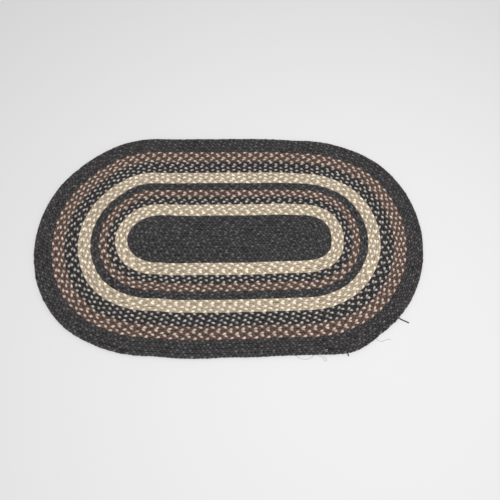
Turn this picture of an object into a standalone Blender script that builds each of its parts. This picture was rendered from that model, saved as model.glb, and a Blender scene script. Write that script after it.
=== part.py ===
"""Braided rug, about 1.13 x 0.69 m: flat three-strand braid laid in ovals round a straight middle row.

The rug lies flat with its underside on z = 0, its long side along X and its middle at the origin. Each colour
is a band of rows that was braided on its own and laced to the band inside it, so each is a closed solid of
its own, with one raised rib for each row of braid. A place on the rug is given by its share of the way round,
counterclockwise from the right-hand end of the far straight, and by its distance out from the middle row.
"""

import math

import bmesh
import bpy
import numpy as np

# Driving dimensions, in metres
MIDDLE_ROW_LENGTH = 0.445
ROW_PITCH = 0.012
BRAID_THICKNESS = 0.0082
VALLEY_HEIGHT = 0.0052
CROWN_WIDTH = 0.0052
EDGE_ROUNDING = 0.0014
SEAM_GAP = 0.0003

# The oval on which shares of the way round are counted
COUNTING_RADIUS = 0.172

# Facets round the rug
STRAIGHT_FACETS = 7
END_FACETS = 20

# Points closer than this are one point, and a fold sharper than this angle is shaded as an edge
SAME_POINT = 0.00002
SHARP_FOLD_DEG = 50.0

# The bands from the middle outwards: name, rows of braid, colour, roughness.
# The first band also holds the straight middle row.
BANDS = (
    ("middle_charcoal", 6, (0.052, 0.050, 0.050), 0.95),
    ("inner_cream", 3, (0.500, 0.420, 0.310), 0.90),
    ("inner_black_white", 2, (0.120, 0.110, 0.104), 0.92),
    ("inner_brown", 2, (0.205, 0.152, 0.127), 0.92),
    ("ring_charcoal", 2, (0.052, 0.050, 0.050), 0.95),
    ("outer_cream", 3, (0.500, 0.420, 0.310), 0.90),
    ("outer_black_white", 3, (0.120, 0.110, 0.104), 0.92),
    ("outer_brown", 3, (0.205, 0.152, 0.127), 0.92),
    ("edge_charcoal", 4, (0.052, 0.050, 0.050), 0.95),
)

# How far the rows stray outwards from the even oval, in millimetres, at even steps round the rug.
# Columns: edge of the middle field, middle of the outer cream band, edge of the outer brown band, outline.
STRAY_ROWS = (6.5, 17.0, 24.5, 28.5)
STRAY_MM = (
    (-4.0, -5.5, -5.8, -6.0),
    (-1.5, -2.0, -2.0, -2.5),
    (-3.0, -2.5, -0.5, 0.5),
    (-4.0, -2.5, -0.5, 0.0),
    (-4.0, -2.5, -1.5, -1.0),
    (-4.5, -3.5, -1.9, -1.0),
    (-2.0, -3.5, -1.9, -1.5),
    (-5.0, -1.0, -0.3, 0.0),
    (-4.0, -6.5, -5.8, -5.5),
    (-1.5, -6.5, -4.2, -3.0),
    (-0.5, -4.5, -2.5, -1.5),
    (-1.5, -3.0, -0.1, 1.5),
    (-5.0, -1.5, 1.1, 2.5),
    (-7.5, -6.5, -5.8, -6.0),
    (-6.0, -9.5, -7.5, -7.0),
    (-3.0, -4.0, -1.4, -0.5),
    (-3.5, -2.5, 0.8, 2.0),
    (-3.0, -2.0, 0.0, 0.0),
    (-3.5, -3.0, -0.7, 0.0),
    (-6.0, -4.5, -2.5, -2.0),
    (-7.5, -6.0, -3.4, -3.0),
    (-8.5, -8.0, -3.0, -3.0),
    (-4.0, -6.5, 0.0, 1.0),
    (-1.0, -4.5, 1.5, 2.5),
    (-3.5, -2.5, 3.0, 5.0),
    (-1.5, -1.5, 5.0, 7.0),
    (-1.0, -1.0, 6.0, 7.5),
    (-3.5, -5.0, -3.0, -2.5),
)

# How far some rows lie out from their even places all the way round, because their yarn braids up wider
# or narrower: the rows, and millimetres
DRIFT_ROWS = (0.0, 7.0, 9.0, 11.5, 14.0, 15.5, 18.5, 21.5, 24.0, 26.0, 28.5)
DRIFT_MM = (0.0, -0.2, 0.4, 0.9, 0.5, -0.1, 0.1, 0.8, 0.4, 0.0, -0.3)

# The last row's two ends lie side by side for a short way. In shares of the way round, its start widens
# from nothing between the first pair and its tail narrows to nothing between the second pair.
START_WIDENS = (0.729, 0.758)
TAIL_NARROWS = (0.750, 0.783)


def smooth_step(x):
    """0 below 0, 1 above 1, and an S-shaped rise between."""
    x = np.clip(x, 0.0, 1.0)
    return x * x * (3.0 - 2.0 * x)


def stations():
    """Shares of the way round at which the bands have their points, the same for every band."""
    straight = MIDDLE_ROW_LENGTH
    end = math.pi * COUNTING_RADIUS
    runs = ((straight, STRAIGHT_FACETS), (end, END_FACETS)) * 2
    places, at = [], 0.0
    for length, facets in runs:
        places.extend(at + length * i / facets for i in range(facets))
        at += length
    return np.array(places) / at


def oval(share):
    """Middle-row point and outward direction (x, y, out_x, out_y) at each share of the way round."""
    straight = MIDDLE_ROW_LENGTH
    end = math.pi * COUNTING_RADIUS
    at = share * 2.0 * (straight + end)
    half = straight / 2.0
    lengths = np.cumsum((straight, end, straight))
    run = np.searchsorted(lengths, at + SAME_POINT)
    along = at - np.concatenate(([0.0], lengths))[run]
    turned = np.where(run % 2 == 1, along / COUNTING_RADIUS, 0.0) + np.pi * (run // 2)
    x = np.choose(run, (half - along, -half + 0 * at, -half + along, half + 0 * at))
    angle = turned + math.pi / 2.0
    return x, 0.0 * x, np.cos(angle), np.sin(angle)


def stray(share, out):
    """Metres that a row strays outwards: a Catmull-Rom curve round the table, straight lines between its
    columns, nothing at the middle row, and the drift of its row."""
    table = np.array(STRAY_MM) / 1000.0
    steps = len(table)
    at = share * steps
    low = np.floor(at).astype(int)
    t = at - low
    weights = (
        -0.5 * t**3 + t**2 - 0.5 * t,
        1.5 * t**3 - 2.5 * t**2 + 1.0,
        -1.5 * t**3 + 2.0 * t**2 + 0.5 * t,
        0.5 * t**3 - 0.5 * t**2,
    )
    columns = sum(w[:, None] * table[(low + k - 1) % steps] for k, w in enumerate(weights))
    known = np.concatenate(([0.0], np.array(STRAY_ROWS) * ROW_PITCH))
    values = np.column_stack((np.zeros(len(share)), columns))
    drift = np.interp(out / ROW_PITCH, DRIFT_ROWS, DRIFT_MM) / 1000.0
    return np.array([np.interp(out_here, known, row) for out_here, row in zip(out, values)]) + drift


def last_row_width(share):
    """Width of the last row in row pitches: 1, and more where its start and its tail lie side by side."""
    start = smooth_step((share - START_WIDENS[0]) / (START_WIDENS[1] - START_WIDENS[0]))
    tail = 1.0 - smooth_step((share - TAIL_NARROWS[0]) / (TAIL_NARROWS[1] - TAIL_NARROWS[0]))
    return 1.0 + np.where((share > START_WIDENS[0]) & (share < TAIL_NARROWS[1]), start + tail - 1.0, 0.0)


def ring(share, out):
    """Points (x, y) of one line round the rug, out metres from the middle row."""
    x, y, out_x, out_y = oval(share)
    reach = out + stray(share, out)
    return np.column_stack((x + reach * out_x, y + reach * out_y))


def crown():
    """The two sides of a row's flat top, in row pitches from its inner seam."""
    shoulder = (1.0 - CROWN_WIDTH / ROW_PITCH) / 2.0
    return shoulder, 1.0 - shoulder


def band_lines(first, rows, last_band):
    """The lines round the rug that make a band, as (out, height), from its inner seam over its ribs and
    down its outer side. first is the number of its innermost row."""
    share = stations()
    ones = np.ones(len(share))
    lines = []
    for row in range(first, first + rows):
        widened = last_row_width(share) if last_band and row == first + rows - 1 else ones
        inner = (row - 0.5) * ROW_PITCH
        if row > first:
            lines.append((inner * ones, VALLEY_HEIGHT))
        for offset in crown():
            lines.append((inner + offset * widened * ROW_PITCH, BRAID_THICKNESS))
    outer = (first + rows - 1.5) * ROW_PITCH + widened * ROW_PITCH
    if last_band:
        lines.append((outer - EDGE_ROUNDING / 2.0, VALLEY_HEIGHT + EDGE_ROUNDING / 2.0))
        lines.append((outer, BRAID_THICKNESS / 2.0))
        lines.append((outer - EDGE_ROUNDING, 0.0))
    else:
        seam = outer - SEAM_GAP / 2.0
        lines.append((seam, VALLEY_HEIGHT))
        lines.append((seam, 0.0))
    return share, lines


def ring_points(share, lines):
    """World points of each line, as an array of lines by stations by three."""
    points = np.empty((len(lines), len(share), 3))
    for i, (out, height) in enumerate(lines):
        points[i, :, :2] = ring(share, out)
        points[i, :, 2] = height
    return points


def centre_of_outline():
    """Middle of the rug's box, which the whole rug is moved by so that the origin lies there."""
    share = stations()
    rows = sum(band[1] for band in BANDS)
    edge = ring(share, (rows - 0.5) * ROW_PITCH + last_row_width(share) * ROW_PITCH)
    return (edge.max(axis=0) + edge.min(axis=0)) / 2.0


def cloth_material(name, colour, roughness):
    material = bpy.data.materials.new(name)
    material.use_nodes = True
    shader = material.node_tree.nodes["Principled BSDF"]
    shader.inputs["Base Color"].default_value = (*colour, 1.0)
    shader.inputs["Roughness"].default_value = roughness
    shader.inputs["Metallic"].default_value = 0.0
    return material


def add_grid(mesh, points, closed_across):
    """Quads between neighbouring lines; each line closes on itself round the rug. Returns the vertices."""
    verts = [[mesh.verts.new(p) for p in line] for line in points]
    pairs = list(zip(verts, verts[1:]))
    if closed_across:
        pairs.append((verts[-1], verts[0]))
    for low, high in pairs:
        for i in range(len(low)):
            j = (i + 1) % len(low)
            mesh.faces.new((low[i], low[j], high[j], high[i]))
    return verts


def finish_object(mesh, name, colour, roughness, shift):
    """Moves the mesh to its place, turns its faces outwards and makes it a named object."""
    bmesh.ops.remove_doubles(mesh, verts=mesh.verts, dist=SAME_POINT)
    bmesh.ops.translate(mesh, verts=mesh.verts, vec=(-shift[0], -shift[1], 0.0))
    bmesh.ops.recalc_face_normals(mesh, faces=mesh.faces)
    data = bpy.data.meshes.new(name)
    mesh.to_mesh(data)
    mesh.free()
    data.shade_smooth()
    data.set_sharp_from_angle(angle=math.radians(SHARP_FOLD_DEG))
    data.materials.append(cloth_material(name, colour, roughness))
    obj = bpy.data.objects.new(name, data)
    bpy.context.scene.collection.objects.link(obj)
    return obj


def middle_band(name, rows, colour, roughness, shift):
    """The middle field: the straight middle row and the rows round it, with a flat underside."""
    share, lines = band_lines(1, rows, False)
    ones = np.ones(len(share))
    seed = [(0.0 * ones, BRAID_THICKNESS), (ones * CROWN_WIDTH / 2.0, BRAID_THICKNESS)]
    points = ring_points(share, seed + [(ones * ROW_PITCH / 2.0, VALLEY_HEIGHT)] + lines)
    mesh = bmesh.new()
    verts = add_grid(mesh, points, closed_across=False)
    mesh.faces.new(verts[-1])
    return finish_object(mesh, name, colour, roughness, shift)


def ring_band(name, first, rows, colour, roughness, last_band, shift):
    """A band that closes round the one inside it: ribs on top, plain seams, and a flat underside."""
    share, lines = band_lines(first, rows, last_band)
    inner = (first - 0.5) * ROW_PITCH + SEAM_GAP / 2.0
    ones = np.ones(len(share))
    wall = [(inner * ones, 0.0), (inner * ones, VALLEY_HEIGHT)]
    mesh = bmesh.new()
    add_grid(mesh, ring_points(share, wall + lines), closed_across=True)
    return finish_object(mesh, name, colour, roughness, shift)


def build_rug():
    shift = centre_of_outline()
    first = 1
    for name, rows, colour, roughness in BANDS:
        if first == 1:
            middle_band(name, rows, colour, roughness, shift)
        else:
            ring_band(name, first, rows, colour, roughness, name == BANDS[-1][0], shift)
        first += rows


for old in list(bpy.data.objects):
    bpy.data.objects.remove(old, do_unlink=True)

build_rug()
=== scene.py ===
"""Braided rug: an oval of flat three-strand jute braid, laid round a straight middle row and laced edge to
edge. Each colour of braid is one piece, and stands for the solid of the same name."""

import math

import bpy
import numpy as np
from mathutils import Matrix


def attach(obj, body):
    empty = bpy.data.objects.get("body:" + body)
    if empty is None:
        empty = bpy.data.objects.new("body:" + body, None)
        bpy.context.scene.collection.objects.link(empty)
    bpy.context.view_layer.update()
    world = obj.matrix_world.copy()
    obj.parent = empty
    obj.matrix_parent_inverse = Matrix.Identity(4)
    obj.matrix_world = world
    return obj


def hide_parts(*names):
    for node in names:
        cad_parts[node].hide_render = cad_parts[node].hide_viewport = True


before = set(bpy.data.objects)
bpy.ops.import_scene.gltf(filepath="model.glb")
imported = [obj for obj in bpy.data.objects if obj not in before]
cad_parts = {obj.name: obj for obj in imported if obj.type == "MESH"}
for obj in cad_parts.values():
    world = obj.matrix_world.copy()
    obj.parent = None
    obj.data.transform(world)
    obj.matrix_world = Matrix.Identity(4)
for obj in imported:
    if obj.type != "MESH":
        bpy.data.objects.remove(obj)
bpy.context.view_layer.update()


# ---------------------------------------------------------------------------------------------------------
# The viewpoint: a camera held at standing height over the near side of the rug and tipped towards it.
# The picture is square, and its sides take in a little more than the rug's length.
# ---------------------------------------------------------------------------------------------------------
EYE = (0.0044, -0.5053, 1.2690)
LOOKS_ALONG = (0.0368, 0.3483, -0.9366)
PICTURE_RIGHT = (0.9993, -0.0198, 0.0328)
SENSOR_MM = 36.0
LENS_MM = 33.41
LENS_OFF_MIDDLE = 0.001


def place_camera():
    """A camera at EYE whose axes are the picture's right, the cross product of the two, and backwards."""
    data = bpy.data.cameras.new("viewpoint")
    data.sensor_width = SENSOR_MM
    data.lens = LENS_MM
    data.shift_x = -LENS_OFF_MIDDLE
    camera = bpy.data.objects.new("viewpoint", data)
    back = -np.array(LOOKS_ALONG) / np.linalg.norm(LOOKS_ALONG)
    up = np.cross(back, PICTURE_RIGHT)
    up /= np.linalg.norm(up)
    turn = np.eye(4)
    turn[:3, :3] = np.column_stack((np.cross(up, back), up, back))
    turn[:3, 3] = EYE
    camera.matrix_world = Matrix(turn.tolist())
    bpy.context.scene.collection.objects.link(camera)
    bpy.context.scene.camera = camera


place_camera()


# ---------------------------------------------------------------------------------------------------------
# The middle field: one straight row of charcoal braid with six rows laid round it, each a flat braid of
# three jute strands. Every later row is laid against the one before it, so the oval drawn here serves all.
# ---------------------------------------------------------------------------------------------------------

# Row lies beside row at one pitch. A place round the rug is a share of the way round an oval of the counting
# radius, whose straights are as long as the middle row, and FAR_SHARE is the middle of its far straight.
MIDDLE_ROW_LENGTH = 0.445
ROW_PITCH = 0.012
COUNTING_RADIUS = 0.172
HALF_STRAIGHT = MIDDLE_ROW_LENGTH / 2.0
END_ARC = math.pi * COUNTING_RADIUS
ROUND = 2.0 * (MIDDLE_ROW_LENGTH + END_ARC)
FAR_SHARE = HALF_STRAIGHT / ROUND

# How far the rows stray outwards from the even oval, in millimetres, at even steps counterclockwise from
# the right-hand end of the far straight: at the middle field's edge, the outer cream band, the outer brown
# band's edge and the outline
STRAY_ROWS = (6.5, 17.0, 24.5, 28.5)
STRAY_MM = (
    (-4.0, -5.5, -5.8, -6.0),
    (-1.5, -2.0, -2.0, -2.5),
    (-3.0, -2.5, -0.5, 0.5),
    (-4.0, -2.5, -0.5, 0.0),
    (-4.0, -2.5, -1.5, -1.0),
    (-4.5, -3.5, -1.9, -1.0),
    (-2.0, -3.5, -1.9, -1.5),
    (-5.0, -1.0, -0.3, 0.0),
    (-4.0, -6.5, -5.8, -5.5),
    (-1.5, -6.5, -4.2, -3.0),
    (-0.5, -4.5, -2.5, -1.5),
    (-1.5, -3.0, -0.1, 1.5),
    (-5.0, -1.5, 1.1, 2.5),
    (-7.5, -6.5, -5.8, -6.0),
    (-6.0, -9.5, -7.5, -7.0),
    (-3.0, -4.0, -1.4, -0.5),
    (-3.5, -2.5, 0.8, 2.0),
    (-3.0, -2.0, 0.0, 0.0),
    (-3.5, -3.0, -0.7, 0.0),
    (-6.0, -4.5, -2.5, -2.0),
    (-7.5, -6.0, -3.4, -3.0),
    (-8.5, -8.0, -3.0, -3.0),
    (-4.0, -6.5, 0.0, 1.0),
    (-1.0, -4.5, 1.5, 2.5),
    (-3.5, -2.5, 3.0, 5.0),
    (-1.5, -1.5, 5.0, 7.0),
    (-1.0, -1.0, 6.0, 7.5),
    (-3.5, -5.0, -3.0, -2.5),
)

# How far some rows lie out from their even places all the way round, because their yarn braids up wider
# or narrower: the rows, and millimetres
DRIFT_ROWS = (0.0, 7.0, 9.0, 11.5, 14.0, 15.5, 18.5, 21.5, 24.0, 26.0, 28.5)
DRIFT_MM = (0.0, -0.2, 0.4, 0.9, 0.5, -0.1, 0.1, 0.8, 0.4, 0.0, -0.3)

# Where the middle row's own middle lies, from the middle of the rug's box
OVAL_MIDDLE = (-0.0032, 0.0008)

# One strand in a braid that fills its row: how far it swings to each side and up and down as it crosses,
# how much of that side swing is even and how late it is, how much faster it goes across underneath, how
# late and how steeply it dives, its half width and half thickness where it lies flat and where it turns
# round the braid's side, how much wider its underside is pressed, how early it lies flattest, and how far
# it leans over
SWING_OUT = 0.0044
SWING_UP = 0.0021
EVEN_SWING = 0.98
LATE_DEG = 13.5
FASTER_BELOW = 0.26
FASTER_BELOW_DEG = 72.0
DIVES_LATE_DEG = 7.5
STEEPER_DIVE = 0.14
FLAT_HALF_WIDTH, FLAT_HALF_DEPTH = 0.00344, 0.00197
TURNED_HALF_WIDTH, TURNED_HALF_DEPTH = 0.0019, 0.0029
FULLER_BELOW = 1.12
FLAT_EARLY_DEG = 9.0
LEAN_DEG = 7.5

# The strand's mesh, the length in which its fibres wind once round it, and the yarn on which each strand
# begins at a chance place, in half widths
STATIONS_PER_PERIOD = 12
STRAND_SIDES = 7
FIBRE_TWIST_LENGTH = 0.095
YARN_LENGTH = 900.0

# How uneven handwork is: metres that a row wanders sideways and up and down and radians that its crossings
# come early or late, each in so few to so many waves on the way round, the shares by which single passes
# of a strand swing, lift and swell, and how far their wear is from even
WANDERS, WANDER_WAVES = 0.00015, (5, 30)
RISES, RISE_WAVES = 0.00012, (4, 39)
CROSSES_OFF, CROSSING_WAVES = 0.16, (3, 13)
PASS_SWINGS, PASS_LIFTS, PASS_SWELLS = 0.08, 0.06, 0.09
PASS_WEARS = 0.2

# Where a pass begins, in half turns of its phase, and how much of it is the step to the next one
PASS_BEGINS = 0.3
PASS_STEP = 0.5

# Each row's chance values come from this seed plus the row's number. Its line is measured at so many points
# before its stations are set out evenly.
ROW_SEEDS = 100
FINE_POINTS = 6001

# The strands' flat map, cut into strips: how many stations make a piece of strip as long as it is high, the
# share of a strip's height that the strand fills, and the radius of an end cap, in heights
STRIP_SHAPE = 7.6
STRIP_FILLS = 0.86
CAP_RADIUS = 0.3


def smooth_step(x):
    """0 below 0, 1 above 1, and an S-shaped rise between."""
    x = np.clip(x, 0.0, 1.0)
    return x * x * (3.0 - 2.0 * x)


def oval(share):
    """The middle row's point and the outward direction at each share of the way round: two straights joined
    by half circles whose middles are the ends of the middle row."""
    at = np.mod(share, 1.0) * ROUND
    lengths = np.cumsum((MIDDLE_ROW_LENGTH, END_ARC, MIDDLE_ROW_LENGTH))
    run = np.searchsorted(lengths, at)
    along = at - np.concatenate(([0.0], lengths))[run]
    turned = np.where(run % 2 == 1, along / COUNTING_RADIUS, 0.0) + math.pi * (run // 2)
    ends = np.full(at.shape, HALF_STRAIGHT)
    x = np.choose(run, (HALF_STRAIGHT - along, -ends, along - HALF_STRAIGHT, ends))
    angle = turned + math.pi / 2.0
    return x, np.cos(angle), np.sin(angle)


def stray(share, out):
    """Metres that a point strays outwards: a Catmull-Rom curve round the table, straight lines between its
    columns, nothing at the middle row, and the drift of its row."""
    table = np.array(STRAY_MM) / 1000.0
    at = np.mod(share, 1.0) * len(table)
    low = np.floor(at).astype(int)
    t = (at - low)[:, None]
    weights = (
        -0.5 * t**3 + t**2 - 0.5 * t,
        1.5 * t**3 - 2.5 * t**2 + 1.0,
        -1.5 * t**3 + 2.0 * t**2 + 0.5 * t,
        0.5 * t**3 - 0.5 * t**2,
    )
    columns = sum(w * table[(low + k - 1) % len(table)] for k, w in enumerate(weights))
    columns = np.column_stack((np.zeros(len(at)), columns))
    known = np.concatenate(([0.0], STRAY_ROWS)) * ROW_PITCH
    high = np.clip(np.searchsorted(known, out), 1, len(known) - 1)
    part = (out - known[high - 1]) / (known[high] - known[high - 1])
    rows = np.arange(len(at))
    drift = np.interp(out / ROW_PITCH, DRIFT_ROWS, DRIFT_MM) / 1000.0
    return columns[rows, high - 1] * (1.0 - part) + columns[rows, high] * part + drift


def laid(share, out):
    """Floor points of a line round the rug: the oval's point plus its outward direction times the distance
    out and the stray there."""
    x, out_x, out_y = oval(share)
    reach = out + stray(share, out)
    return np.column_stack((x + reach * out_x + OVAL_MIDDLE[0], reach * out_y + OVAL_MIDDLE[1]))


def run_lengths(points):
    """The length of the line up to each of its points."""
    return np.concatenate(([0.0], np.cumsum(np.linalg.norm(np.diff(points, axis=0), axis=1))))


def directions(points, closed):
    """Unit vectors along a line: the difference between the points on either side of each point."""
    forward = np.roll(points, -1, axis=0) - np.roll(points, 1, axis=0)
    if not closed:
        forward[0] = points[1] - points[0]
        forward[-1] = points[-1] - points[-2]
    return forward / np.linalg.norm(forward, axis=1)[:, None]


def waves(turn, fewest, most, size, random):
    """A smooth unevenness of about this size that meets itself after one turn: a sum of cosines with every
    whole number of waves from fewest to most, each at a chance phase."""
    numbers = np.arange(fewest, most + 1)
    phases = random.uniform(0.0, 2.0 * math.pi, len(numbers))
    turns = 2.0 * math.pi * np.outer(turn, numbers) + phases
    return size * np.cos(turns).sum(axis=1) * math.sqrt(2.0 / len(numbers))


def passes(phase, count, size, random):
    """A chance value for each of a strand's passes over the braid, which lie about the phases 1/4 pi, 5/4 pi
    and so on. One value gives way to the next in an S-shaped step while the strand is hidden below."""
    values = random.normal(0.0, size, count)
    at = phase / math.pi - PASS_BEGINS
    low = np.floor(at).astype(int)
    step = smooth_step((at - low - 0.5 * (1.0 - PASS_STEP)) / PASS_STEP)
    return values[low % count] * (1.0 - step) + values[(low + 1) % count] * step


def strand_skin(middle, width_way, half_width, half_depth, lean, closed):
    """A strand's skin: ellipses of these half sizes set square to the strand's middle line, with their width
    along width_way leaned over by lean, and fuller below. Each begins at its top, a quarter turn on, so it
    is alike to both sides. Returns points as stations by sides by three."""
    forward = directions(middle, closed)
    wide = width_way - forward * (width_way * forward).sum(axis=1)[:, None]
    wide /= np.linalg.norm(wide, axis=1)[:, None]
    deep = np.cross(wide, forward)
    leaned = wide * np.cos(lean)[:, None] + deep * np.sin(lean)[:, None]
    deep = deep * np.cos(lean)[:, None] - wide * np.sin(lean)[:, None]
    angle = 2.0 * math.pi * (np.arange(STRAND_SIDES) / STRAND_SIDES + 0.25)
    fullness = np.cos(angle) * np.where(np.sin(angle) < 0.0, FULLER_BELOW, 1.0)
    across = half_width[:, None, None] * leaned[:, None, :] * fullness[None, :, None]
    upward = half_depth[:, None, None] * deep[:, None, :] * np.sin(angle)[None, :, None]
    return middle[:, None, :] + across + upward


class Strands:
    """Collects strands and makes them one mesh. Each point carries what its yarn needs: how pale its strand
    is (dye), how worn this pass of it is (wear), and its place on the yarn (fibre). paleness is the pale
    strand's dye and worn the whole piece's wear."""

    def __init__(self, paleness=1.0, worn=0.0):
        self.paleness, self.worn = paleness, worn
        self.skins, self.closed = [], []
        self.dye, self.wear, self.fibre = [], [], []

    def add(self, skin, middle, dye, wear, yarn_place, closed):
        """One strand. Its fibre place is its length along in half widths, and the cosine and sine of the
        angle round it, which a whole number of the yarn's slow twists turns on the way."""
        stations, sides = skin.shape[:2]
        length = run_lengths(middle)
        twists = round(length[-1] / FIBRE_TWIST_LENGTH)
        angle = 2.0 * math.pi * (np.arange(sides) / sides + twists * (length / length[-1])[:, None])
        along = np.repeat(length[:, None] / FLAT_HALF_WIDTH + yarn_place, sides, axis=1)
        self.skins.append(skin)
        self.closed.append(closed)
        self.dye.append(np.full(stations * sides, dye))
        self.wear.append(np.repeat(wear + self.worn, sides))
        self.fibre.append(np.stack((along, np.cos(angle), np.sin(angle)), axis=-1).reshape(-1, 3))

    def faces(self):
        """Quads between neighbouring stations and a cap at each end of an open strand, and their corners'
        places on a flat map, where the strands are cut into equal strips laid one above another."""
        stations = sum(len(skin) for skin in self.skins)
        strip = math.ceil(math.sqrt(stations * STRIP_SHAPE))
        strips = math.ceil(stations / strip) + 1
        sides = STRAND_SIDES
        side = np.arange(sides)
        round_side = 2.0 * math.pi * side / sides
        quads, caps, quad_map, cap_map = [], [], [], []
        first = 0
        for skin, closed in zip(self.skins, self.closed):
            count = len(skin)
            low = np.arange(count if closed else count - 1)
            corners = []
            places = []
            for station, next_side in ((0, 0), (1, 0), (1, 1), (0, 1)):
                at = (first + (low + station) % count)[:, None] * sides
                corners.append(at + (side + next_side) % sides)
                u = ((first + low) % strip + station)[:, None] + 0.0 * side
                v = ((first + low) // strip)[:, None] + STRIP_FILLS * (side + next_side) / sides
                places.append(np.stack((u / strip, v / strips), axis=-1))
            quads.append(np.stack(corners, axis=-1).reshape(-1, 4))
            quad_map.append(np.stack(places, axis=-2).reshape(-1, 2))
            for station, order in () if closed else ((0, side), (count - 1, side[::-1])):
                caps.append(((first + station) * sides + order)[None, :])
                u = len(caps) + CAP_RADIUS * np.cos(round_side)
                v = strips - 2.0 * CAP_RADIUS + CAP_RADIUS * np.sin(round_side)
                cap_map.append(np.column_stack((u / strip, v / strips)))
            first += count
        return quads + caps, np.concatenate(quad_map + cap_map)

    def make(self, name, material):
        """One mesh object of all the strands, none of which sinks below the floor."""
        points = np.concatenate([skin.reshape(-1, 3) for skin in self.skins])
        points[:, 2] = np.maximum(points[:, 2], 0.0)
        faces, flat_map = self.faces()
        corners = np.concatenate([f.ravel() for f in faces])
        sizes = np.concatenate([np.full(len(f), f.shape[1]) for f in faces])
        starts = np.concatenate(([0], np.cumsum(sizes)[:-1]))
        data = bpy.data.meshes.new(name)
        data.vertices.add(len(points))
        data.vertices.foreach_set("co", points.astype(np.float32).ravel())
        data.loops.add(len(corners))
        data.loops.foreach_set("vertex_index", corners.astype(np.int32))
        data.polygons.add(len(sizes))
        data.polygons.foreach_set("loop_start", starts.astype(np.int32))
        for value, numbers in (("dye", self.dye), ("wear", self.wear)):
            layer = data.attributes.new(value, "FLOAT", "POINT")
            layer.data.foreach_set("value", np.concatenate(numbers).astype(np.float32))
        layer = data.attributes.new("fibre", "FLOAT_VECTOR", "POINT")
        layer.data.foreach_set("vector", np.concatenate(self.fibre).astype(np.float32).ravel())
        data.update(calc_edges=True)
        strips = data.uv_layers.new(name="OFBake")
        strips.uv.foreach_set("vector", flat_map.astype(np.float32).ravel())
        data.validate()
        data.shade_smooth()
        data.materials.append(material)
        obj = bpy.data.objects.new(name, data)
        bpy.context.scene.collection.objects.link(obj)
        return obj


def lay_braid(strands, line, crossing, squeeze, taper, closed, random):
    """Three strands braided along a line of floor points. At phase p a strand lies out to the side by about
    cos(p) plus some cos(3p), leaving the side late and crossing fast underneath, and up by sin(2p) less some
    sin(4p), so that it comes in from either side over the strand it meets and dives at the middle. It turns
    on its edge at the sides, by cos(p) to the fourth. crossing is the first strand's phase, squeeze the
    row's width in pitches, and taper its thickness."""
    stations = len(line)
    turn = np.arange(stations) / stations
    forward = directions(line, closed)
    outward = np.column_stack((forward[:, 1], -forward[:, 0], np.zeros(stations)))
    base = np.column_stack((line, (SWING_UP + FLAT_HALF_DEPTH) * taper))
    base[:, 2] += waves(turn, *RISE_WAVES, RISES, random)
    marks = round((crossing[-1] - crossing[0]) / math.pi)
    for strand in range(3):
        phase = crossing + 2.0 * math.pi * strand / 3.0
        side = EVEN_SWING * np.cos(phase - math.radians(LATE_DEG))
        side += FASTER_BELOW * np.cos(3.0 * phase + math.radians(FASTER_BELOW_DEG))
        late = phase - math.radians(DIVES_LATE_DEG)
        rise = np.sin(2.0 * late) - STEEPER_DIVE * np.sin(4.0 * late)
        flat = 1.0 - np.cos(phase + math.radians(FLAT_EARLY_DEG)) ** 4
        swing = side * SWING_OUT * squeeze * (1.0 + passes(phase, marks, PASS_SWINGS, random))
        middle = base + outward * swing[:, None]
        middle[:, 2] += rise * SWING_UP * taper * (1.0 + passes(phase, marks, PASS_LIFTS, random))
        swell = 1.0 + passes(phase, marks, PASS_SWELLS, random)  # a pass that is wider is as much flatter
        half_width = TURNED_HALF_WIDTH + (FLAT_HALF_WIDTH - TURNED_HALF_WIDTH) * flat
        half_width = half_width * squeeze * swell
        half_depth = TURNED_HALF_DEPTH + (FLAT_HALF_DEPTH - TURNED_HALF_DEPTH) * flat
        half_depth = half_depth * taper * (2.0 - swell)
        lean = -math.radians(LEAN_DEG) * side * rise
        skin = strand_skin(middle, outward, half_width, half_depth, lean, closed)
        wear = passes(phase, marks, PASS_WEARS, random)
        dye = strands.paleness * (strand == 0)
        strands.add(skin, middle, dye, wear, random.uniform(0.0, YARN_LENGTH), closed)


def closed_row(strands, row, far_deg, near_deg, period, random):
    """One row of braid that closes on itself, at row pitches out from the middle row. far_deg and near_deg
    say how far on the first strand's crossing is at the middle of the far and near straights. Each half
    between them holds the number of crossings that comes nearest to the period."""
    fine = np.linspace(0.0, 1.0, FINE_POINTS)
    length = run_lengths(laid(fine, np.full(len(fine), row * ROW_PITCH)))
    far_at, near_at = np.interp((FAR_SHARE, 0.5 + FAR_SHARE), fine, length)
    ahead = (near_deg - far_deg) / 360.0
    left = near_at - far_at
    left_turns = round(left / period - ahead) + ahead
    right_turns = round((length[-1] - left) / period + ahead) - ahead
    stations = round(left_turns + right_turns) * STATIONS_PER_PERIOD
    turn = np.arange(stations) / stations
    share = np.interp(turn * length[-1], length, fine)
    known_at = (near_at - length[-1], far_at, near_at, far_at + length[-1])
    known = (-right_turns, 0.0, left_turns, left_turns + right_turns)
    crossing = 2.0 * math.pi * np.interp(turn * length[-1], known_at, known) + math.radians(far_deg)
    crossing += waves(turn, *CROSSING_WAVES, CROSSES_OFF, random)
    out = np.full(stations, row * ROW_PITCH)
    half = 0.5 * ROW_PITCH
    squeeze = 1.0 + (stray(share, out + half) - stray(share, out - half)) / ROW_PITCH
    line = laid(share, out + waves(turn, *WANDER_WAVES, WANDERS, random))
    lay_braid(strands, line, crossing, squeeze, np.ones(stations), True, random)


# The middle row reaches so far past the ends of its straight, where it is drawn in over a short length to
# a share of its width
MIDDLE_ROW_REACH = 0.0052
MIDDLE_ROW_DRAWS_IN = 0.0078
MIDDLE_ROW_END_WIDTH = 0.5
MIDDLE_ROW_DEG = 20.0
MIDDLE_ROW_PERIOD = 0.035
MIDDLE_ROW_WAVES = (1, 5)


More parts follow.
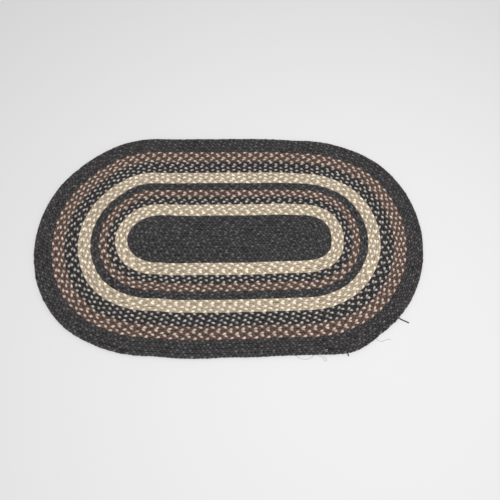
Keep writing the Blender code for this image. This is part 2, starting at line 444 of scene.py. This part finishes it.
def middle_row(strands, random):
    """The straight row that the rest goes round, with both ends drawn in."""
    reach = HALF_STRAIGHT + MIDDLE_ROW_REACH
    stations = round(2.0 * reach / MIDDLE_ROW_PERIOD * STATIONS_PER_PERIOD) + 1
    x = np.linspace(-reach, reach, stations)
    y = waves(x / reach, *MIDDLE_ROW_WAVES, WANDERS, random)
    line = np.column_stack((x + OVAL_MIDDLE[0], y + OVAL_MIDDLE[1]))
    full = smooth_step((reach - np.abs(x)) / MIDDLE_ROW_DRAWS_IN)
    drawn_in = MIDDLE_ROW_END_WIDTH + (1.0 - MIDDLE_ROW_END_WIDTH) * full
    crossing = 2.0 * math.pi * x / MIDDLE_ROW_PERIOD + math.radians(MIDDLE_ROW_DEG)
    lay_braid(strands, line, crossing, drawn_in, drawn_in, False, random)


def closed_rows(strands, rows):
    """Closed rows, each given by its number out from the middle row, its crossing's phase in degrees at the
    middle of the far and near straights, and its period in millimetres."""
    for row, far_deg, near_deg, period_mm in rows:
        random = np.random.default_rng(ROW_SEEDS + row)
        closed_row(strands, row, far_deg, near_deg, period_mm / 1000.0, random)


class Shade:
    """One socket of a material's nodes. Sums written with it add Math nodes to that material."""

    def __init__(self, tree, socket=None):
        self.tree, self.socket = tree, socket

    def node(self, kind, settings=None, sockets=None, output=0):
        """A new node of this type, its settings made first and then its sockets. Returns one output."""
        made = self.tree.nodes.new(kind)
        for name, value in (settings or {}).items():
            setattr(made, name, value)
        for name, value in (sockets or {}).items():
            if isinstance(value, Shade):
                self.tree.links.new(value.socket, made.inputs[name])
            else:
                made.inputs[name].default_value = value
        return Shade(self.tree, made.outputs[output])

    def math(self, operation, *values):
        """A Math node with this operation on these values."""
        return self.node("ShaderNodeMath", {"operation": operation}, dict(enumerate(values)))

    def __add__(self, other):
        return self.math("ADD", self, other)

    def __radd__(self, other):
        return self.math("ADD", other, self)

    def __sub__(self, other):
        return self.math("SUBTRACT", self, other)

    def __rsub__(self, other):
        return self.math("SUBTRACT", other, self)

    def __mul__(self, other):
        return self.math("MULTIPLY", self, other)

    def __rmul__(self, other):
        return self.math("MULTIPLY", other, self)

    def mix(self, first, second):
        """Two colours mixed by this value."""
        settings = {"data_type": "RGBA", "blend_type": "MIX", "clamp_factor": True}
        return self.node("ShaderNodeMix", settings, {0: self, 6: first, 7: second}, 2)

    def times(self, by):
        """This colour times a value."""
        return self.node("ShaderNodeVectorMath", {"operation": "SCALE"}, {0: self, "Scale": by})

    def rise(self, low, high, bottom, top):
        """From bottom to top as this value goes from low to high, in an S-shaped rise."""
        settings = {"interpolation_type": "SMOOTHSTEP"}
        sockets = {"Value": self, "From Min": low, "From Max": high, "To Min": bottom, "To Max": top}
        return self.node("ShaderNodeMapRange", settings, sockets)


# Jute's unevenness, as noise stretched along and across the fibre, or over the whole rug: a slow drift of
# colour, streaks, fuzz, sun fading and patches of tint, and how much of each shows in the colour
YARNS_ROUND_STRAND = 9.0
DRIFT_STRETCH, DRIFT_SHARE = (0.22, 0.25, 0.25), 0.5
STREAK_STRETCH, STREAK_SHARE = (0.30, 5.0, 5.0), 0.8
FADING_STRETCH, FADING_SHARE = (7.0, 7.0, 7.0), 0.35
FUZZ_STRETCH = (3.0, 9.0, 9.0)
PATCH_STRETCH = (16.0, 16.0, 16.0)
PATCH_CONTRAST = 4.0
NOISE_ROUGHNESS = 0.55
YARN_SHARE = 0.05

# The fibre's fine relief: its depth, how strongly it shows, what yarns, streaks and fuzz add to it, and how
# much the fuzz dulls the gloss
FIBRE_RELIEF = 0.0005
RELIEF_STRENGTH = 0.9
YARN_RELIEF, STREAK_RELIEF, FUZZ_RELIEF = 0.3, 0.7, 0.4
FUZZ_DULLS = 0.3


def opaque(colour):
    """This colour with full alpha."""
    return (*colour, 1.0)


def jute_braid(name, plain, pale, tint, tint_share, wear_share, dips_mm, painted_shade_share, gloss):
    """Dyed jute: strands of colour plain with every third one pale. The colour drifts along each strand and
    from pass to pass, fine streaks run along the fibres, and a tint comes and goes. Shade is painted into
    the colour low down between the strands: darker by the share painted_shade_share at the lower of the two
    heights dips_mm, and full above the higher."""
    material = bpy.data.materials.new(name)
    material.use_nodes = True
    tree = material.node_tree
    shader = tree.nodes["Principled BSDF"]
    start = Shade(tree)
    dye = start.node("ShaderNodeAttribute", {"attribute_name": "dye"}, output="Fac")
    wear = start.node("ShaderNodeAttribute", {"attribute_name": "wear"}, output="Fac")
    fibre = start.node("ShaderNodeAttribute", {"attribute_name": "fibre"}, output="Vector")
    place = start.node("ShaderNodeTexCoord", output="Object")

    def part(vector, axis):
        """One axis of a vector."""
        return start.node("ShaderNodeSeparateXYZ", sockets={0: vector}, output=axis)

    def noise(where, stretch, detail):
        """Noise about zero, in waves that are shorter the greater the stretch."""
        stretched = start.node("ShaderNodeMapping", sockets={"Vector": where, "Scale": stretch})
        sockets = {"Vector": stretched, "Scale": 1.0, "Detail": detail, "Roughness": NOISE_ROUGHNESS}
        return start.node("ShaderNodeTexNoise", sockets=sockets) - 0.5

    drift = noise(fibre, DRIFT_STRETCH, 2.0)
    streaks = noise(fibre, STREAK_STRETCH, 4.0)
    fuzz = noise(fibre, FUZZ_STRETCH, 3.0)
    fading = noise(place, FADING_STRETCH, 3.0)
    patches = noise(place, PATCH_STRETCH, 2.0)
    angle = start.math("ARCTAN2", part(fibre, 2), part(fibre, 1))
    yarns = start.math("COSINE", angle * YARNS_ROUND_STRAND)

    # Painted shade: the colour is darkened low down between the strands, where the braid's hollows lie in
    # shade, and left full on the crests.
    dips = part(place, 2).rise(dips_mm[0] / 1000.0, dips_mm[1] / 1000.0, 1.0 - painted_shade_share, 1.0)
    tone = 1.0 + drift * DRIFT_SHARE + streaks * STREAK_SHARE + fading * FADING_SHARE
    tone = tone + yarns * YARN_SHARE + wear * wear_share
    strand = dye.mix(opaque(plain), opaque(pale))
    tinted = (patches * PATCH_CONTRAST * tint_share).mix(strand, opaque(tint))
    tree.links.new(tinted.times(tone * dips).socket, shader.inputs["Base Color"])
    tree.links.new((1.0 - gloss + fuzz * FUZZ_DULLS).socket, shader.inputs["Roughness"])
    height = yarns * YARN_RELIEF + streaks * STREAK_RELIEF + fuzz * FUZZ_RELIEF
    relief = {"Strength": RELIEF_STRENGTH, "Distance": FIBRE_RELIEF, "Height": height}
    bump = start.node("ShaderNodeBump", sockets=relief)
    tree.links.new(bump.socket, shader.inputs["Normal"])
    return material


middle_jute = jute_braid(
    "middle_jute",
    plain=(0.0388, 0.0376, 0.0374),
    pale=(0.108, 0.1065, 0.106),
    tint=(0.050, 0.049, 0.050),
    tint_share=0.5,
    wear_share=1.5,
    dips_mm=(5.0, 8.2),
    painted_shade_share=0.72,
    gloss=0.3,
)


def finish_band(strands, name, material, node):
    """Makes the collected strands a piece that stands for its solid."""
    piece = strands.make(name, material)
    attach(piece, "root")
    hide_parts(node)


def band(name, rows, material, node):
    """A piece of closed rows alone."""
    strands = Strands()
    closed_rows(strands, rows)
    finish_band(strands, name, material, node)


MIDDLE_FIELD_ROWS = (
    (1, 226.5, 330.5, 33.4),
    (2, 62.5, 133.5, 34.0),
    (3, 84.5, 199.0, 34.2),
    (4, 324.5, 348.5, 33.8),
    (5, 65.0, 185.0, 33.6),
    (6, 170.0, 280.0, 33.8),
)
middle_field = Strands(paleness=0.72, worn=0.06)
middle_row(middle_field, np.random.default_rng(ROW_SEEDS))
closed_rows(middle_field, MIDDLE_FIELD_ROWS)
finish_band(middle_field, "middle_field_braid", middle_jute, "middle_charcoal")


# ---------------------------------------------------------------------------------------------------------
# The inner cream band: three rows braided from two beige strands and one of bleached cream, laced round
# the middle field.
# ---------------------------------------------------------------------------------------------------------
cream_jute = jute_braid(
    "cream_jute",
    plain=(0.493, 0.397, 0.279),
    pale=(0.99, 0.895, 0.743),
    tint=(0.61, 0.50, 0.385),
    tint_share=0.2,
    wear_share=0.3,
    dips_mm=(4.0, 8.2),
    painted_shade_share=0.31,
    gloss=0.25,
)
INNER_CREAM_ROWS = ((7, 264.5, 209.0, 33.2), (8, 31.5, 290.0, 33.0), (9, 337.5, 92.0, 33.1))
band("inner_cream_braid", INNER_CREAM_ROWS, cream_jute, "inner_cream")


# ---------------------------------------------------------------------------------------------------------
# The inner black-and-white band: two rows of two near-black strands and one pale grey.
# ---------------------------------------------------------------------------------------------------------
black_white_jute = jute_braid(
    "black_white_jute",
    plain=(0.0275, 0.0212, 0.0194),
    pale=(0.538, 0.508, 0.477),
    tint=(0.05, 0.040, 0.037),
    tint_share=0.1,
    wear_share=0.6,
    dips_mm=(5.8, 8.3),
    painted_shade_share=0.7,
    gloss=0.35,
)
INNER_BLACK_WHITE_ROWS = ((10, 203.0, 308.0, 32.5), (11, 106.0, 279.5, 32.0))
band(
    "inner_black_white_braid",
    INNER_BLACK_WHITE_ROWS,
    black_white_jute,
    "inner_black_white",
)


# ---------------------------------------------------------------------------------------------------------
# The inner brown band: two rows of two red-brown strands and one pinkish tan.
# ---------------------------------------------------------------------------------------------------------
brown_jute = jute_braid(
    "brown_jute",
    plain=(0.128, 0.0725, 0.054),
    pale=(0.645, 0.518, 0.432),
    tint=(0.15, 0.10, 0.075),
    tint_share=0.15,
    wear_share=0.5,
    dips_mm=(5.5, 8.2),
    painted_shade_share=0.45,
    gloss=0.3,
)
INNER_BROWN_ROWS = ((12, 0.0, 87.0, 33.4), (13, 147.0, 170.0, 33.1))
band("inner_brown_braid", INNER_BROWN_ROWS, brown_jute, "inner_brown")


# ---------------------------------------------------------------------------------------------------------
# The charcoal ring: two plain rows that part the inner bands from the outer ones. Their yarn, which is the
# edge's too, is dyed a little redder than the middle field's.
# ---------------------------------------------------------------------------------------------------------
charcoal_jute = jute_braid(
    "charcoal_jute",
    plain=(0.0395, 0.0365, 0.0366),
    pale=(0.103, 0.099, 0.099),
    tint=(0.056, 0.040, 0.044),
    tint_share=0.5,
    wear_share=1.5,
    dips_mm=(5.0, 8.2),
    painted_shade_share=0.68,
    gloss=0.3,
)
RING_ROWS = ((14, 261.0, 280.5, 33.2), (15, 113.0, 265.0, 33.2))
band("charcoal_ring_braid", RING_ROWS, charcoal_jute, "ring_charcoal")


# ---------------------------------------------------------------------------------------------------------
# The outer cream, black-and-white and brown bands: three rows each, of the same yarns as the inner ones.
# ---------------------------------------------------------------------------------------------------------
OUTER_CREAM_ROWS = ((16, 94.5, 262.0, 33.1), (17, 329.0, 88.0, 33.3), (18, 324.0, 132.5, 33.2))
band("outer_cream_braid", OUTER_CREAM_ROWS, cream_jute, "outer_cream")

OUTER_BLACK_WHITE_ROWS = ((19, 176.0, 292.5, 32.3), (20, 154.5, 1.5, 32.9), (21, 6.5, 66.0, 32.2))
band(
    "outer_black_white_braid",
    OUTER_BLACK_WHITE_ROWS,
    black_white_jute,
    "outer_black_white",
)

OUTER_BROWN_ROWS = ((22, 140.0, 53.0, 33.4), (23, 9.0, 243.5, 33.6), (24, 164.0, 35.0, 33.4))
band("outer_brown_braid", OUTER_BROWN_ROWS, brown_jute, "outer_brown")


# ---------------------------------------------------------------------------------------------------------
# The charcoal edge: three closed rows and a last one, whose tail lies outside its start, drawn in to a
# point and sewn down. A short end of yarn has worked loose beside it, and a few fine threads.
# ---------------------------------------------------------------------------------------------------------
EDGE_ROWS = ((25, 61.0, 343.0, 34.1), (26, 192.0, 273.0, 34.2), (27, 224.0, 292.0, 34.2))

# The last row: its crossings at the far and near straights and its period, and in shares of the way round
# where its start widens, where its tail narrows and where both are cut. SEWN_DOWN is its ends' thickness.
LAST_ROW = 28
LAST_ROW_FAR_DEG, LAST_ROW_NEAR_DEG = 277.0, 83.0
LAST_ROW_PERIOD = 0.0343
START_WIDENS = (0.729, 0.758)
TAIL_NARROWS = (1.750, 1.783)
LAST_ROW_CUT = (0.7365, 1.7750)
SEWN_DOWN = 0.45

# The loose ends: half thickness, wear, and the route from inside the edge to the floor
LOOSE_YARN_HALF = 0.0015
LOOSE_YARN_WEAR = -0.5
LOOSE_YARN = (
    (0.4565, -0.2345, 0.0040),
    (0.4623, -0.2378, 0.0030),
    (0.4673, -0.2410, 0.0015),
    (0.4726, -0.2444, 0.0012),
    (0.4797, -0.2478, 0.0012),
    (0.4873, -0.2514, 0.0012),
    (0.4922, -0.2538, 0.0012),
)
TUFT_HALF = 0.0013
TUFT_WEAR = -1.0
TUFT = (
    (0.3115, -0.3340, 0.0040),
    (0.3127, -0.3372, 0.0030),
    (0.3135, -0.3404, 0.0016),
    (0.3144, -0.3424, 0.0012),
)
THREAD_HALF = 0.00024
THREAD_WEAR = 3.0
THREADS_MM = (
    ((393.0, -289.0), (395.3, -294.5), (400.0, -301.5), (410.0, -303.8), (418.0, -301.0), (428.5, -298.0),
     (436.2, -300.9)),
    ((169.8, -337.0), (172.1, -339.3), (177.3, -343.9), (186.6, -347.5), (197.4, -348.8), (207.0, -347.6),
     (214.1, -343.4), (218.7, -339.8), (220.3, -338.0)),
    ((232.3, -338.5), (234.7, -340.0), (240.0, -343.0), (244.9, -343.7), (250.2, -344.5), (253.4, -349.4),
     (252.5, -353.9), (249.2, -354.6), (245.9, -351.4), (244.4, -345.5)),
)


def last_row_lies(share):
    """The last row's middle and width in pitches. It widens from its start and dwindles to its tail, and
    before the tail it moves out by the width of the start beneath it."""
    begin, full = START_WIDENS
    start = smooth_step((share - begin) / (full - begin))
    moved = smooth_step((share - 1.0 - begin) / (full - begin))
    tail = 1.0 - smooth_step((share - TAIL_NARROWS[0]) / (TAIL_NARROWS[1] - TAIL_NARROWS[0]))
    width = start * tail
    return LAST_ROW - 0.5 + moved + 0.5 * width, width


def last_row(strands, random):
    """The row of braid that ends beside its own start. Where it is narrower than half, it is thinner too."""
    fine = np.linspace(*LAST_ROW_CUT, FINE_POINTS)
    length = run_lengths(laid(fine, last_row_lies(fine)[0] * ROW_PITCH))
    far_at, near_at = np.interp((1.0 + FAR_SHARE, 1.5 + FAR_SHARE), fine, length)
    ahead = (LAST_ROW_NEAR_DEG - LAST_ROW_FAR_DEG) / 360.0
    turns = round((near_at - far_at) / LAST_ROW_PERIOD - ahead) + ahead
    stations = round(length[-1] / LAST_ROW_PERIOD * STATIONS_PER_PERIOD) + 1
    at = np.linspace(0.0, length[-1], stations)
    share = np.interp(at, length, fine)
    middle, width = last_row_lies(share)
    out = middle * ROW_PITCH
    half = 0.5 * ROW_PITCH
    squeeze = width * (1.0 + (stray(share, out + half) - stray(share, out - half)) / ROW_PITCH)
    line = laid(share, out + waves(at / length[-1], *WANDER_WAVES, WANDERS, random))
    crossing = 2.0 * math.pi * turns * (at - far_at) / (near_at - far_at) + math.radians(LAST_ROW_FAR_DEG)
    crossing += waves(at / length[-1], *CROSSING_WAVES, CROSSES_OFF, random)
    taper = SEWN_DOWN + (1.0 - SEWN_DOWN) * smooth_step(2.0 * width)
    lay_braid(strands, line, crossing, squeeze, taper, False, random)


def loose_end(strands, route, half, wear, steps):
    """A loose end of yarn: a round skin, half as thick at its tip, carried along a Catmull-Rom curve with
    this many steps between the points of its route."""
    route = np.array(route)
    ends = np.vstack((2.0 * route[0] - route[1], route, 2.0 * route[-1] - route[-2]))
    t = np.linspace(0.0, 1.0, steps, endpoint=False)[:, None]
    middle = []
    for a, b, c, d in zip(ends, ends[1:], ends[2:], ends[3:]):
        straight = 2.0 * b + (c - a) * t
        middle.append(0.5 * (straight + (2 * a - 5 * b + 4 * c - d) * t**2 + (3 * b - a - 3 * c + d) * t**3))
    middle = np.vstack((*middle, route[-1]))
    forward = directions(middle, False)
    sideways = np.column_stack((forward[:, 1], -forward[:, 0], np.zeros(len(middle))))
    thick = np.full(len(middle), half)
    thick[-1] *= 0.5
    skin = strand_skin(middle, sideways, thick, thick, np.zeros(len(middle)), False)
    strands.add(skin, middle, 0.0, np.full(len(middle), wear), 0.0, False)


edge = Strands(paleness=0.7, worn=0.05)
closed_rows(edge, EDGE_ROWS)
last_row(edge, np.random.default_rng(ROW_SEEDS + LAST_ROW))
loose_end(edge, LOOSE_YARN, LOOSE_YARN_HALF, LOOSE_YARN_WEAR, 4)
loose_end(edge, TUFT, TUFT_HALF, TUFT_WEAR, 4)
for thread in THREADS_MM:
    route = [(x / 1000.0, y / 1000.0, THREAD_HALF) for x, y in thread]
    loose_end(edge, route, THREAD_HALF, THREAD_WEAR, 3)
finish_band(edge, "charcoal_edge_braid", charcoal_jute, "edge_charcoal")


# ---------------------------------------------------------------------------------------------------------
# A plain pale floor and soft light from overhead.
# ---------------------------------------------------------------------------------------------------------
FLOOR_HALF_SIZE = 4.0
FLOOR_COLOUR = (0.77, 0.77, 0.77)
FLOOR_ROUGHNESS = 0.9
FLOOR_DROP = 0.0002
LAMP_PLACE = (0.5, -0.4, 2.6)
LAMP_SIZE = 1.2
LAMP_WATTS = 44.0
ROOM_LIGHT = 0.54


def pale_floor():
    """A square of four corners just under the rug."""
    data = bpy.data.meshes.new("floor")
    s = FLOOR_HALF_SIZE
    corners = [(-s, -s, -FLOOR_DROP), (s, -s, -FLOOR_DROP), (s, s, -FLOOR_DROP), (-s, s, -FLOOR_DROP)]
    data.from_pydata(corners, [], [(0, 1, 2, 3)])
    floor = bpy.data.objects.new("floor", data)
    material = bpy.data.materials.new("pale_floor")
    material.use_nodes = True
    shader = material.node_tree.nodes["Principled BSDF"]
    shader.inputs["Base Color"].default_value = opaque(FLOOR_COLOUR)
    shader.inputs["Roughness"].default_value = FLOOR_ROUGHNESS
    data.materials.append(material)
    bpy.context.scene.collection.objects.link(floor)


def overhead_lamp():
    """A square lamp turned to face the middle of the rug."""
    data = bpy.data.lights.new("overhead", "AREA")
    data.shape = "SQUARE"
    data.size = LAMP_SIZE
    data.energy = LAMP_WATTS
    lamp = bpy.data.objects.new("overhead", data)
    back = np.array(LAMP_PLACE) / np.linalg.norm(LAMP_PLACE)
    side = np.cross((0.0, 1.0, 0.0), back)
    side /= np.linalg.norm(side)
    turn = np.eye(4)
    turn[:3, :3] = np.column_stack((side, np.cross(back, side), back))
    turn[:3, 3] = LAMP_PLACE
    lamp.matrix_world = Matrix(turn.tolist())
    bpy.context.scene.collection.objects.link(lamp)


def room_light():
    """Even white light from all round."""
    world = bpy.data.worlds.new("room_light")
    world.use_nodes = True
    sky = world.node_tree.nodes["Background"]
    sky.inputs["Color"].default_value = (1.0, 1.0, 1.0, 1.0)
    sky.inputs["Strength"].default_value = ROOM_LIGHT
    bpy.context.scene.world = world


pale_floor()
overhead_lamp()
room_light()
bpy.context.scene.view_settings.view_transform = "Standard"
